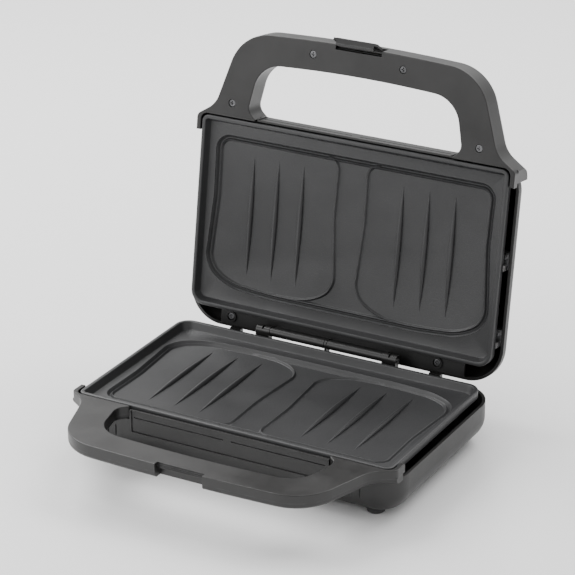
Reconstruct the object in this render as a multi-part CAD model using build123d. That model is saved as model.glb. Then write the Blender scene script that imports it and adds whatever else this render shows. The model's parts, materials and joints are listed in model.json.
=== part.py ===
from build123d import *
import os
from math import cos, radians, sin

# A two-slice panini press with its lid open.
# Row frame: millimetres, +X to the right, +Y to the hinge at the back, +Z up.
# The origin is on the tabletop, under the middle of the cooking plates.
#
# The base and the lid are near mirror images, so each shared piece is made once in a
# "half frame": the parting plane is z = 0 and the piece goes down into negative z.
# in_base() lifts it to the base, and in_lid() turns it over, lifts it and opens it.

# ---- driving dimensions ----
PARTING_Z = 46.0  # top of the base plate's rim above the tabletop
PLATE_GAP = 1.0  # between the two plates' rims when the lid is shut
LID_OPEN = 99.0  # degrees that the lid stands open at rest, on its stop
HINGE_Y = 90.0
HINGE_OFFSET_X = -7.0  # the hinge sits a little left of the middle

PLATE_W = 275.0
PLATE_D = 161.0
PLATE_REAR_R = 12.0
PLATE_FRONT_R = 6.0
RIM_W = 3.4
RIM_SKIRT = 9.5  # height of the rim's outer wall
SKIRT_CHAMFER = 3.0
TRAY_DEPTH = 6.5  # from the rim's top to the flat margin round the pockets
POCKET_DEPTH = 9.2  # from the rim's top to the pockets' floor
PLATE_FLOOR = 3.0  # metal thickness under tray and pockets
SLICE_X = 68.0  # each pocket's middle
BEAD_INSET = 1.7  # valley between a pocket's wall and its bead
BEAD_W = 2.2
BEAD_H = 1.9
RIB_PITCH = 23.0
RIB_HALF = 51.0
RIB_HALF_W = 2.1
RIB_H = 2.6

HOUSING_W = 286.0
HOUSING_FRONT = -84.0
HOUSING_REAR = 97.0
HOUSING_FRONT_R = 23.0
HOUSING_REAR_R = 30.0
HOUSING_DEPTH = 42.0  # from the parting plane to the housing's outer floor
HOUSING_EDGE_R = 18.0
WALL = 2.4
SIDE_DROP = 10.5  # how far the side walls stop short of the parting plane
REAR_DROP = 9.0
FRONT_DROP = 2.6
SLOPE_W = 17.0  # how far the lid housing's sloping flanks lean in
SLOPE_H = 25.0  # and how high they are

HANDLE_EDGE = 6.8  # height of the handles' straight edge
LOWER_DEPTH = 12.0  # thickness of each handle
UPPER_DEPTH = 26.0
LOWER_BACK_R = 4.0  # rounding of each handle's outer edges
UPPER_BACK_R = 8.0
HANDLE_SKIN = 2.4
HOOK_X = 142.5  # outer side of the hooks round the plate's front corners
HANDLE_FACE = 3.0  # thickness of the upper handle's inner face
EDGE_BREAK = 0.7

NOTCH_HALF = 20.5
NOTCH_Y = -151.6
LEDGE_T = 4.6
CLIP_HALF = 19.5
CLIP_PIN_Y = -154.2
CLIP_PIN_Z = 6.0  # above the parting plane, lid shut
CLIP_PIN_R = 1.1
CLIP_BARREL_R = 2.2
CLIP_T = 2.0
CLIP_REACH = 13.6
CLIP_HOOK_T = 2.4
CLIP_HOOK_Y = 3.6  # how far the hook reaches behind the pin
CLIP_OUT = 27.0  # degrees that the clip stands out at rest

BARREL_R = 3.8
BARREL_L = 50.0
BARREL_SPLIT = 3.0
KNUCKLE_L = 12.5
KNUCKLE_SCREW_Y = 83.3
HINGE_PIN_R = 1.5
RUN = 0.05  # radial running clearance
FREE = 0.4  # side clearance between the hinge's parts

FEET = [(118.0, -65.0), (-118.0, -65.0), (107.0, 71.0), (-107.0, 71.0)]
FOOT_R = 7.0
POSTS = [(95.0, -70.0), (-95.0, -70.0), (95.0, 70.5), (-95.0, 70.5)]
POST_R = 4.5
HEATER_R = 3.2
HANDLE_SCREWS = [(40.0, -144.6), (-40.0, -144.6), (110.5, -93.5), (-110.5, -93.5)]
STRIP_SCREWS = [(88.0, 87.5), (-102.0, 87.5)]
BRACKETS = [(1, -3.0), (1, 60.0), (-1, -3.0), (-1, 60.0)]
LENSES = [("power_lens", -14.0), ("ready_lens", 14.0)]
LENS_Y = -44.0
GLAND_X = 62.0
GLAND_DEPTH = 22.0
STOPS = [-96.0, 88.0]
STOP_REACH = 2.45  # how far the stop lugs stand out from the rear wall
BRACKET_HOLE = 135.8
BRACKET_REACH = 7.0  # how far the brackets reach in under the plate's rim

HINGE_Z = PARTING_Z + PLATE_GAP / 2
HINGE_AXIS = Axis((0, HINGE_Y, HINGE_Z), (1, 0, 0))
FLOOR_IN = HOUSING_DEPTH - WALL


# ---- placing ----
def in_base(part):
    """Lift a half-frame piece to the base."""
    return Pos(0, 0, PARTING_Z) * part


def shut_lid(part):
    """Turn a half-frame piece over and lift it to the shut lid."""
    return Pos(0, 0, PARTING_Z + PLATE_GAP) * mirror(part, about=Plane.XY)


def opened(part):
    """Turn a piece of the shut lid about the hinge to where it stands open."""
    return part.rotate(HINGE_AXIS, -LID_OPEN)


def in_lid(part):
    """Place a half-frame piece in the opened lid."""
    return opened(shut_lid(part))


# ---- small shapes ----
def disc(x, y, radius, bottom, top):
    """An upright cylinder between two heights."""
    return Pos(x, y, (bottom + top) / 2) * Cylinder(radius, top - bottom)


def block(x0, x1, y0, y1, z0, z1):
    """A box between pairs of limits."""
    middle = Pos((x0 + x1) / 2, (y0 + y1) / 2, (z0 + z1) / 2)
    return middle * Box(x1 - x0, y1 - y0, z1 - z0)


def rod(x0, x1, y, z, radius):
    """A cylinder along X."""
    return Pos((x0 + x1) / 2, y, z) * Rot(0, 90, 0) * Cylinder(radius, x1 - x0)


def prism(face, bottom, top):
    """A flat outline raised from one height to another."""
    return Pos(0, 0, bottom) * extrude(face, top - bottom)


def rounded(points, radii):
    """A face bounded by straight runs with an arc at each corner."""
    return make_face(FilletPolyline(*points, radius=radii, close=True))


def mirrored_outline(half):
    """Close a right-hand list of (x, y, radius) corners with its mirror image."""
    left = [(-x, y, r) for x, y, r in reversed(half) if x > 0]
    corners = half + left
    return rounded([(x, y) for x, y, r in corners], [r for x, y, r in corners])


def screw(x, y, head_top, head_r, head_h, shank_r, length):
    """A cross-head screw pointing down, with its head's top at head_top."""
    head = disc(x, y, head_r, head_top - head_h, head_top)
    head = fillet(head.edges().group_by(Axis.Z)[-1], head_h * 0.45)
    cross = block(x - head_r * 0.55, x + head_r * 0.55, y - 0.45, y + 0.45, head_top - 1.2, head_top + 1)
    slot = block(x - 0.45, x + 0.45, y - head_r * 0.55, y + head_r * 0.55, head_top - 1.2, head_top + 1)
    return head - cross - slot + disc(x, y, shank_r, head_top - head_h - length, head_top - head_h)


# ---- outlines ----
def plate_outline(inset):
    """The cooking plate seen from above, or its outline moved in."""
    x = PLATE_W / 2 - inset
    y = PLATE_D / 2 - inset
    front = max(PLATE_FRONT_R - inset, 1.5)
    rear = PLATE_REAR_R - inset
    return mirrored_outline([(x, -y, front), (x, y, rear)])


def housing_outline(inset):
    """The housing seen from above, or its outline moved in."""
    x = HOUSING_W / 2 - inset
    front = HOUSING_FRONT + inset
    rear = HOUSING_REAR - inset
    return mirrored_outline([(x, front, HOUSING_FRONT_R - inset), (x, rear, HOUSING_REAR_R - inset)])


def slice_outline():
    """One bread slice: straight towards the handle, wide and round at the back."""
    half = [
        (55.4, -65.5, 13.0),
        (55.4, -14.0, 90.0),
        (65.8, 47.5, 23.0),
        (40.0, 63.0, 60.0),
        (0.0, 66.5, 240.0),
    ]
    return mirrored_outline(half)


def arch_outline():
    """The handle's whole outline, with hooks round the plate's front corners."""
    gap_x = PLATE_W / 2 + 1.2
    gap_y = -PLATE_D / 2 - 1.2
    half = [
        (0.0, -157.7, 1500.0),
        (105.8, -152.9, 38.0),
        (126.0, -90.6, 22.0),
        (HOOK_X, -79.9, 5.0),
        (HOOK_X, -67.0, 0.0),
        (gap_x, -67.0, 0.0),
        (gap_x, gap_y, PLATE_FRONT_R),
    ]
    return mirrored_outline(half)


def grip_outline():
    """The handle's opening, run past the handle's back edge between its two horns."""
    half = [
        (0.0, -133.6, 1100.0),
        (87.4, -129.2, 25.0),
        (95.7, -89.5, 8.5),
        (88.4, -83.2, 0.0),
        (88.4, -70.0, 0.0),
    ]
    return mirrored_outline(half)


def handle_face():
    """The handle's flat face: the arch with its opening taken out."""
    return arch_outline() - grip_outline()


def back_outline():
    """The outline of a handle's back: as the face, but with feet that run into the housing."""
    outer = mirrored_outline([
        (0.0, -157.7, 1500.0), (105.8, -152.9, 38.0), (126.0, -90.6, 22.0), (157.7, -70.0, 0.0),
    ])
    inner = mirrored_outline([
        (0.0, -133.6, 1100.0), (87.4, -129.2, 25.0), (95.7, -89.5, 8.5), (61.5, -60.0, 0.0),
    ])
    return outer - inner


def arm_outline(inset, rear):
    """The arch as two straight arms without hooks, cut at the rear, moved in by an inset."""
    outer = mirrored_outline([(0.0, -157.7, 1500.0), (105.8, -152.9, 38.0), (127.5, rear, 0.0)])
    inner = mirrored_outline([(0.0, -133.6, 1100.0), (87.4, -129.2, 25.0), (101.3, -60.0, 0.0)])
    if inset:
        outer = offset(outer, -inset, kind=Kind.INTERSECTION)
        inner = offset(inner, inset, kind=Kind.INTERSECTION)
    return outer - inner


# ---- cooking plates ----
def beads():
    """The raised bead inside each slice and along the shared edge."""
    slices = [Pos(side * SLICE_X, 0) * slice_outline() for side in (-1, 1)]
    shared = pocket_outline()
    ring = offset(shared, -BEAD_INSET) - offset(shared, -BEAD_INSET - BEAD_W)
    for one in slices:
        ring += offset(one, -BEAD_INSET) - offset(one, -BEAD_INSET - BEAD_W)
    return prism(ring, -POCKET_DEPTH - 0.2, -POCKET_DEPTH + BEAD_H)


def pocket_outline():
    """Both slices with the strip between them, as one recess."""
    y_front, y_rear = -65.5, 65.6
    middle = Pos(0, (y_front + y_rear) / 2) * Rectangle(2 * SLICE_X, y_rear - y_front)
    face = middle
    for side in (-1, 1):
        face += Pos(side * SLICE_X, 0) * slice_outline()
    return face


def rib(x):
    """A lens-shaped rib, tallest in its middle."""
    plan = make_face(
        ThreePointArc((x, -RIB_HALF), (x + RIB_HALF_W, 0), (x, RIB_HALF))
        + ThreePointArc((x, RIB_HALF), (x - RIB_HALF_W, 0), (x, -RIB_HALF))
    )
    body = prism(plan, -POCKET_DEPTH - 0.2, -POCKET_DEPTH + RIB_H)
    side = Plane.YZ * make_face(
        ThreePointArc((-RIB_HALF, -POCKET_DEPTH), (0, -POCKET_DEPTH + RIB_H), (RIB_HALF, -POCKET_DEPTH))
        + Polyline((RIB_HALF, -POCKET_DEPTH), (RIB_HALF, -POCKET_DEPTH - 1), (-RIB_HALF, -POCKET_DEPTH - 1),
                   (-RIB_HALF, -POCKET_DEPTH))
    )
    return body & Pos(x - 10, 0, 0) * extrude(side, 20)


def plate_blank(grow):
    """The plate's outer block, chamfered underneath so that it clears the pan's corners."""
    blank = prism(plate_outline(-grow), -RIM_SKIRT - grow, 0)
    return chamfer(blank.edges().group_by(Axis.Z)[0], SKIRT_CHAMFER)


def plate(posts):
    """A cast cooking plate in the half frame."""
    solid = plate_blank(0)
    solid = fillet(solid.edges().group_by(Axis.Z)[-1], EDGE_BREAK)
    floor = offset(pocket_outline(), PLATE_FLOOR)
    solid += prism(floor, -POCKET_DEPTH - PLATE_FLOOR, -RIM_SKIRT + 0.5)
    tray = prism(plate_outline(RIM_W), -TRAY_DEPTH, 1)
    solid -= tray
    solid -= prism(pocket_outline(), -POCKET_DEPTH, 0)
    solid += beads()
    for side in (-1, 1):
        for step in (-1, 0, 1):
            solid += rib(side * SLICE_X + step * RIB_PITCH)
    if posts:
        for x, y in POSTS:
            solid += disc(x, y, POST_R, -24, -RIM_SKIRT + 0.5)
            solid -= disc(x, y, 2.0, -25, -12)
    return solid


def heating_element():
    """A tubular heater looped under both pockets, with its cold ends at the back."""
    z = -POCKET_DEPTH - PLATE_FLOOR - HEATER_R
    corners = [
        (-28, 74, z), (-28, 44, z), (-104, 44, z), (-104, -46, z),
        (104, -46, z), (104, 44, z), (28, 44, z), (28, 74, z),
    ]
    path = FilletPolyline(*corners, radius=[12, 20, 20, 20, 20, 12])
    start = Plane(origin=path @ 0, z_dir=path % 0)
    tube = sweep(start * Circle(HEATER_R), path=path)
    for x in (-28, 28):
        tube += Pos(x, 78, z) * Rot(90, 0, 0) * Cylinder(1.6, 9)
    return tube


def reflector():
    """A thin sheet dish under the heater, held off the plate by four tabs."""
    top = -POCKET_DEPTH - PLATE_FLOOR - 2 * HEATER_R - 3.2
    dish = prism(mirrored_outline([(118, -60, 10), (118, 58, 10)]), top - 4.8, top)
    dish -= prism(mirrored_outline([(117.3, -59.3, 9.3), (117.3, 57.3, 9.3)]), top - 4.1, top + 1)
    for x in (-80, 80):
        for y0, y1 in ((-60, -59.3), (57.3, 58)):
            dish += block(x - 5, x + 5, y0, y1, top - 1, -POCKET_DEPTH - PLATE_FLOOR)
    return dish


# ---- housings ----
def housing_solid(inset):
    """The housing's outer form, or its inner form moved in by a wall."""
    depth = HOUSING_DEPTH - inset
    solid = prism(housing_outline(inset), -depth, 0)
    return fillet(solid.edges().group_by(Axis.Z)[0], HOUSING_EDGE_R - inset)


def lid_form(inset):
    """The lid housing's outer form, with sloping flanks, or its inner form moved in."""
    depth = HOUSING_DEPTH - inset
    lean = SLOPE_W - inset / 2
    rise = SLOPE_H - 2 * inset / 3
    solid = prism(housing_outline(inset), -depth, 0)
    floor = solid.faces().sort_by(Axis.Z)[0]
    solid = chamfer(floor.edges(), lean, rise, reference=floor)
    solid = fillet(solid.edges().filter_by_position(Axis.Z, -depth - 0.01, -depth + 0.01), 4.0)
    waist = solid.edges().filter_by_position(Axis.Z, rise - depth - 0.01, rise - depth + 0.01)
    return fillet(waist, 8.0)


def housing_shell(form):
    """A pan whose walls stop short of the parting plane, in the half frame."""
    pan = form(0) - form(WALL)
    pan -= block(-200, 200, -60, 120, -SIDE_DROP, 1)
    pan -= block(-200, 200, 82, 120, -REAR_DROP, 1)
    for side in (-1, 1):
        x0, x1 = sorted((side * 87.6, side * 200))
        pan -= block(x0, x1, -120, -50, -SIDE_DROP, 1)
    pan -= block(-100, 100, -120, -50, -FRONT_DROP, 1)
    pan -= plate_blank(0.5)
    # a shallow panel in the front wall, with a slot in two lengths near its top
    pan -= block(-86, 86, -90, HOUSING_FRONT + 0.9, -21, 1)
    for x0, x1 in ((-84, -4), (3, 84)):
        pan -= block(x0, x1, -90, HOUSING_FRONT + 1.7, -9.2, -8.0)
    # upright grooves beside each handle foot
    for side in (-1, 1):
        for x in (100, 107, 114):
            pan -= block(side * x - 0.9, side * x + 0.9, -90, HOUSING_FRONT + 0.8, -34, -18)
    return pan


def rear_deck(x0, x1, thickness):
    """A ledge inside the rear wall, level with its top."""
    return block(x0, x1, 81.1, HOUSING_REAR - 1.2, -REAR_DROP - thickness, -REAR_DROP)


def lower_housing():
    """The base pan with its bosses, deck, vents, foot sockets, stops and gland hole."""
    pan = housing_shell(housing_solid) + rear_deck(-112, 112, WALL)
    for x, y in FEET:
        pan += disc(x, y, FOOT_R + 1.5, -HOUSING_DEPTH, -HOUSING_DEPTH + 5.5)
        pan -= disc(x, y, 2.5, -60, -HOUSING_DEPTH + 4.0)
    for x, y in POSTS:
        pan += disc(x, y, 5.6, -FLOOR_IN - 0.5, -24.0) & housing_solid(0.5)
        pan -= disc(x, y, 2.15, -60, -20)
        pan -= disc(x, y, 4.0, -60, -HOUSING_DEPTH + 4.0)
    for row in (-22, 22):
        for k in range(-5, 6):
            slot = Pos(k * 9.0, row, -HOUSING_DEPTH) * extrude(SlotOverall(26, 3, rotation=90), 6, both=True)
            pan -= slot
    pan -= Pos(GLAND_X, HOUSING_REAR, -GLAND_DEPTH) * Rot(90, 0, 0) * Cylinder(6.0, 10)
    # saddles that the hinge knuckles are screwed to
    for x in knuckle_middles():
        pan += rear_deck(x - 11, x + 11, 3.4)
        pan -= disc(x, KNUCKLE_SCREW_Y, 1.2, -60, 0)
    # lugs on the rear wall that the open lid's rear edge comes to rest against
    top = -REAR_DROP + 2.4
    for x in STOPS:
        pan += block(x - 5, x + 5, HOUSING_REAR - WALL, HOUSING_REAR + STOP_REACH, -SIDE_DROP - 1.5, top)
    return pan


def upper_housing():
    """The lid pan with its lens holes and the lugs for the brackets and the strip."""
    pan = housing_shell(lid_form)
    crest = prism(offset(housing_outline(0), -34), -HOUSING_DEPTH - 1.4, -HOUSING_DEPTH + 1.0)
    pan += fillet(crest.edges().group_by(Axis.Z)[0], 1.2)
    for name, x in LENSES:
        pan -= disc(x, LENS_Y, 4.2, -60, -30)
        pan -= disc(x, LENS_Y, 5.6, -60, -HOUSING_DEPTH + 0.2)
    inside = lid_form(0.5)
    for side, y in BRACKETS:
        x = side * BRACKET_HOLE
        x0, x1 = sorted((x - side * 3.2, x + side * 5.2))
        pan += block(x0, x1, y - 10, y - 1, -17.0, -13.0) & inside
        pan -= disc(x, y - 5.5, 1.3, -18, -12)
    for x, y in STRIP_SCREWS:
        pan += disc(x, y, 4.6, -FLOOR_IN - 0.3, -REAR_DROP - 2.6) & inside
        pan -= disc(x, y, 1.5, -30, 0)
    return pan


# ---- handles ----
def notch_block(bottom, top):
    """The space that the latch's notch takes out of a handle's front edge."""
    return block(-NOTCH_HALF, NOTCH_HALF, -170, NOTCH_Y, bottom, top)


def notch_walls(depth, rear, bottom, top):
    """Walls that close a handle's hollow round the latch's notch."""
    walls = block(-NOTCH_HALF - HANDLE_SKIN, NOTCH_HALF + HANDLE_SKIN, rear, rear + HANDLE_SKIN, bottom, top)
    for side in (-1, 1):
        x0, x1 = sorted((side * NOTCH_HALF, side * (NOTCH_HALF + HANDLE_SKIN)))
        walls += block(x0, x1, depth, rear + 1, bottom, top)
    return walls


def lower_handle():
    """The lower handle's top shell: a flat face with a skirt, hollow underneath."""
    solid = prism(handle_face(), -HANDLE_EDGE, 0)
    solid = fillet(solid.edges().group_by(Axis.Z)[-1], EDGE_BREAK)
    solid -= prism(arm_outline(HANDLE_SKIN, -86.0), -HANDLE_EDGE - 1, -HANDLE_SKIN)
    solid -= prism(housing_outline(0), -HOUSING_DEPTH, -SIDE_DROP)
    solid -= notch_block(-20, 5)
    solid += block(-NOTCH_HALF - 2, NOTCH_HALF + 2, NOTCH_Y, NOTCH_Y + 6, -LEDGE_T, -1)
    solid += notch_walls(-155.6, NOTCH_Y + 4, -HANDLE_EDGE, -1)
    for k in range(3):
        z = -1.2 - 1.3 * k
        solid += block(-NOTCH_HALF + 0.6, NOTCH_HALF - 0.6, NOTCH_Y - 0.5, NOTCH_Y + 0.2, z - 0.6, z)
    for x, y in HANDLE_SCREWS:
        solid += disc(x, y, 3.4, -HANDLE_EDGE, -1)
        solid -= disc(x, y, 1.4, -HANDLE_EDGE - 1, -2.2)
    return solid


def back_form(start, depth, radius):
    """The outer form of a handle's back, with rounded outer edges."""
    form = prism(back_outline(), -depth, -start)
    rims = form.edges().group_by(Axis.Z)[0].filter_by_position(Axis.Y, -170, -70.5)
    form = fillet(rims, radius)
    return form & block(-HOOK_X, HOOK_X, -170, 0, -depth, -start)


def hollow(form, depth, top):
    """Hollow a handle's back from its open side at the given height."""
    return form - prism(arm_outline(HANDLE_SKIN + 1.4, -86.0), -depth + HANDLE_SKIN, top)


def clear_of_pan(solid, form):
    """Cut away what would run into a housing's walls or under the plate's front rim."""
    solid -= form(0) & block(-200, 200, -200, 200, -60, -SIDE_DROP)
    gap = PLATE_W / 2 + 1.2
    return solid - block(-gap, gap, -PLATE_D / 2 - 1.2, 0, -SIDE_DROP, -HANDLE_FACE)


def lower_handle_cover():
    """The cover that closes the lower handle from below."""
    form = back_form(HANDLE_EDGE, LOWER_DEPTH, LOWER_BACK_R)
    back = hollow(form, LOWER_DEPTH, 1)
    back += notch_walls(-160, NOTCH_Y + 4, -60, 0) & form
    back = clear_of_pan(back, housing_solid)
    back -= block(-NOTCH_HALF, NOTCH_HALF, -170, NOTCH_Y + 4, -60, 0)
    for x, y in HANDLE_SCREWS:
        back += disc(x, y, 3.8, -LOWER_DEPTH + 0.8, -HANDLE_EDGE)
        back -= disc(x, y, 1.6, -60, 0)
        back -= disc(x, y, 2.9, -60, -LOWER_DEPTH + 2.6)
    return back


def upper_handle_face():
    """The flat inner face of the upper handle, with four countersunk holes."""
    solid = prism(handle_face(), -HANDLE_FACE, 0)
    solid = fillet(solid.edges().group_by(Axis.Z)[-1], EDGE_BREAK)
    solid -= notch_block(-20, 5)
    for x, y in HANDLE_SCREWS:
        solid -= disc(x, y, 1.6, -20, 1)
        solid -= disc(x, y, 3.3, -1.8, 1)
    return solid


def upper_handle_shell():
    """The upper handle's outer shell, hollow towards the face."""
    depth = UPPER_DEPTH
    form = prism(handle_face(), -HANDLE_EDGE, -HANDLE_FACE) + back_form(HANDLE_EDGE, depth, UPPER_BACK_R)
    pocket_top = -CLIP_PIN_Z - 6.0
    walls = notch_walls(-160, NOTCH_Y, pocket_top - 2.0, -HANDLE_FACE)
    walls += block(-NOTCH_HALF - 2, NOTCH_HALF + 2, -160, NOTCH_Y + 2, pocket_top - 2.0, pocket_top)
    back = hollow(form, depth, 1) + (walls & form)
    back = clear_of_pan(back, lid_form)
    back -= notch_block(pocket_top, 5)
    back -= rod(-NOTCH_HALF - 2.0, NOTCH_HALF + 2.0, CLIP_PIN_Y, PLATE_GAP - CLIP_PIN_Z, CLIP_PIN_R)
    for x, y in HANDLE_SCREWS:
        back += disc(x, y, 3.4, -depth + 0.5, -HANDLE_FACE)
        back -= disc(x, y, 1.3, -14, 0)
    return back


# ---- hinge ----
def knuckle_middles():
    """Where the base's two end knuckles stand along X."""
    reach = BARREL_L + BARREL_SPLIT / 2 + FREE + KNUCKLE_L / 2
    return [HINGE_OFFSET_X - reach, HINGE_OFFSET_X + reach]


def hinge_knuckle(x):
    """One end knuckle with its foot, slot and pin hole, in the base's half frame."""
    half = KNUCKLE_L / 2
    axis_z = PLATE_GAP / 2
    solid = rod(x - half, x + half, HINGE_Y, axis_z, BARREL_R + 0.4)
    solid += block(x - half, x + half, HINGE_Y - 4.2, HINGE_Y + 1.5, -REAR_DROP, axis_z)
    solid += block(x - half, x + half, 81.2, HINGE_Y + 1.5, -REAR_DROP, -REAR_DROP + 2.2)
    solid -= rod(x - half - 1, x + half + 1, HINGE_Y, axis_z, HINGE_PIN_R)
    solid -= block(x - 0.8, x + 0.8, HINGE_Y - 6, HINGE_Y + 6, axis_z + 2.4, axis_z + 6)
    solid -= disc(x, KNUCKLE_SCREW_Y, 1.25, -REAR_DROP - 1, -REAR_DROP + 3)
    return solid


def centre_lug():
    """The thin lug between the two barrels that steadies the pin."""
    x = HINGE_OFFSET_X
    axis_z = PLATE_GAP / 2
    lug = rod(x - 0.9, x + 0.9, HINGE_Y, axis_z, BARREL_R)
    lug += block(x - 0.9, x + 0.9, HINGE_Y - 3.0, HINGE_Y + 3.0, -REAR_DROP, axis_z)
    return lug - rod(x - 2, x + 2, HINGE_Y, axis_z, HINGE_PIN_R)


def hinge_pin():
    """The steel pin through both knuckles, both barrels and the centre lug."""
    reach = KNUCKLE_L / 2 + 0.8
    left, right = knuckle_middles()
    return rod(left - reach, right + reach, HINGE_Y, HINGE_Z, HINGE_PIN_R)


def lid_hinge_strip():
    """The strip behind the lid plate with the two long hinge barrels, half frame."""
    axis_z = PLATE_GAP / 2
    top = -REAR_DROP
    strip = block(-112, 112, 82.2, HOUSING_REAR - WALL - 0.4, top - 2.6, top)
    for side in (-1, 1):
        centre = HINGE_OFFSET_X + side * (BARREL_L + BARREL_SPLIT) / 2
        x0, x1 = centre - BARREL_L / 2, centre + BARREL_L / 2
        strip += rod(x0, x1, HINGE_Y, axis_z, BARREL_R)
        strip += block(x0, x1, HINGE_Y - 2.2, HINGE_Y + 2.2, top, axis_z)
        strip -= rod(x0 - 1, x1 + 1, HINGE_Y, axis_z, HINGE_PIN_R + RUN)
    for x, y in STRIP_SCREWS:
        strip += disc(x, y, 4.6, top, top + 1.6)
        strip -= disc(x, y, 3.4, top - 0.6, top + 3)
        strip -= disc(x, y, 1.7, -20, 0)
    return strip


# ---- latch ----
def latch_clip():
    """The clip with its barrel and hook, pointing straight down in the shut lid."""
    y, z = CLIP_PIN_Y, PARTING_Z + CLIP_PIN_Z
    tip = z - CLIP_REACH
    clip = rod(-CLIP_HALF, CLIP_HALF, y, z, CLIP_BARREL_R)
    clip += block(-CLIP_HALF, CLIP_HALF, y - CLIP_BARREL_R, y - CLIP_BARREL_R + CLIP_T, tip, z)
    hook = block(-CLIP_HALF + 3, CLIP_HALF - 3, y - CLIP_BARREL_R, y + CLIP_HOOK_Y, tip, tip + CLIP_HOOK_T)
    clip += chamfer(hook.edges().filter_by(Axis.X).group_by(Axis.Y)[-1].sort_by(Axis.Z)[:1], 1.4)
    front = y - CLIP_BARREL_R
    for k in range(4):
        edge = tip + 1.0 + 2.2 * k
        clip += block(-CLIP_HALF + 2, CLIP_HALF - 2, front - 0.5, front + 0.2, edge, edge + 1.0)
    clip -= rod(-CLIP_HALF - 1, CLIP_HALF + 1, y, z, CLIP_PIN_R + RUN)
    clip = clip.rotate(Axis((0, y, z), (1, 0, 0)), -CLIP_OUT)
    return opened(clip)


def latch_pin():
    """The steel pin that the clip turns on."""
    z = PARTING_Z + CLIP_PIN_Z
    return opened(rod(-NOTCH_HALF - 2.0, NOTCH_HALF + 2.0, CLIP_PIN_Y, z, CLIP_PIN_R))


# ---- small parts ----
def rubber_feet():
    """Four rubber feet with plugs that press into the housing's floor."""
    feet = []
    for x, y in FEET:
        foot = disc(x, y, FOOT_R, -PARTING_Z, -HOUSING_DEPTH)
        foot = fillet(foot.edges().group_by(Axis.Z)[0], 1.0)
        feet.append(foot + disc(x, y, 2.5, -HOUSING_DEPTH, -HOUSING_DEPTH + 4.0))
    return feet


def plate_brackets():
    """Four sheet brackets from the lid plate's underside to the housing's lugs."""
    parts = []
    for side, y in BRACKETS:
        inner = side * (PLATE_W / 2 - BRACKET_REACH)
        outer = side * (HOUSING_W / 2 - WALL - 1.2)
        x0, x1 = sorted((inner, outer))
        strap = block(x0, x1, y - 9, y + 4, -13.0, -12.0)
        x0, x1 = sorted((inner, inner + side * 1.0))
        strap += block(x0, x1, y - 9, y + 4, -12.5, -RIM_SKIRT)
        x0, x1 = sorted((side * (PLATE_W / 2 + 0.5), side * (PLATE_W / 2 + 1.7)))
        strap += block(x0, x1, y - 0.5, y + 4, -12.5, -4.5)
        parts.append(strap - disc(side * BRACKET_HOLE, y - 5.5, 1.5, -14, -11))
    return parts


def bracket_screws():
    """One screw through each bracket into its lug."""
    return [screw(side * BRACKET_HOLE, y - 5.5, -10.4, 2.1, 1.6, 1.3, 4.6) for side, y in BRACKETS]


def cord_gland():
    """The flanged bush that a mains cord would pass through, in the rear wall."""
    bush = Pos(0, 0, 3.0) * Cylinder(6.0, 10.0)
    bush += Pos(0, 0, -1.3) * Cylinder(7.6, 2.6)
    bush = chamfer(bush.edges().group_by(Axis.Z)[0], 0.6)
    bush += Pos(0, 0, 4.6) * Cylinder(7.0, 2.0)
    bush -= Cylinder(3.7, 40)
    return Pos(GLAND_X, HOUSING_REAR, -GLAND_DEPTH) * Rot(90, 0, 0) * bush


def terminal_block():
    """A ceramic block with three brass screws on the housing's floor."""
    body = block(34, 64, 58, 70, -FLOOR_IN, -FLOOR_IN + 12)
    for k in range(3):
        x = 39 + 10 * k
        body -= disc(x, 64, 2.0, -FLOOR_IN + 6, -FLOOR_IN + 13)
        body -= Pos(x, 64, -FLOOR_IN + 4) * Rot(90, 0, 0) * Cylinder(1.5, 20)
    return body


def thermostat():
    """A bimetal disc thermostat against the plate's underside, with two tabs."""
    top = -POCKET_DEPTH - PLATE_FLOOR
    body = disc(0, 6, 7.5, top - 6.4, top)
    body += block(-12, 12, 2.5, 9.5, top - 1.2, top)
    for x in (-4, 4):
        body += block(x - 0.4, x + 0.4, 3, 9, top - 9.4, top - 6.0)
    return body


def thermal_fuse():
    """A one-shot fuse capsule under a strap on the lid plate's back."""
    top = -POCKET_DEPTH - PLATE_FLOOR
    body = Pos(0, 6, top - 2.0) * Rot(0, 90, 0) * Cylinder(2.0, 12)
    body += block(-3, 3, -1, 13, top - 4.6, top - 4.0) + block(-3, 3, 12.4, 13, top - 4.6, top)
    body += block(-3, 3, -1, -0.4, top - 4.6, top)
    body += rod(-16, 16, 6, top - 2.0, 0.5)
    return body


def lead(points, bend):
    """One insulated lead along a filleted route."""
    path = FilletPolyline(*points, radius=bend)
    return sweep(Plane(origin=path @ 0, z_dir=path % 0) * Circle(1.1), path=path)


def base_leads():
    """Leads from the terminal block to the base heater's two ends."""
    z = -FLOOR_IN + 4
    heat_z = -POCKET_DEPTH - PLATE_FLOOR - HEATER_R
    routes = [
        [(39, 71.2, z), (39, 77, z), (28, 83.7, z), (28, 83.7, heat_z)],
        [(49, 71.2, z), (49, 83.7, z), (-28, 83.7, z), (-28, 83.7, heat_z)],
    ]
    return [lead(route, 2.4) for route in routes]


def lid_leads():
    """Leads from the lid heater's two ends to the indicator lamps."""
    heat_z = -POCKET_DEPTH - PLATE_FLOOR - HEATER_R
    routes = []
    for side in (-1, 1):
        x = side * 28
        to_floor = [(x, 83.7, heat_z), (x, 83.7, -24), (x, 68, -33)]
        routes.append(to_floor + [(x, -18, -33), (side * 14, -34.5, -33)])
    return [lead(route, 5.0) for route in routes]


def lens(x):
    """A domed lens with a flange, seen in the half frame."""
    top = -HOUSING_DEPTH - 1.4
    cap = disc(x, LENS_Y, 5.4, top - 0.9, -HOUSING_DEPTH + 0.2)
    cap = fillet(cap.edges().group_by(Axis.Z)[0], 0.8)
    return cap + disc(x, LENS_Y, 4.0, -HOUSING_DEPTH, -HOUSING_DEPTH + 7)


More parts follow.
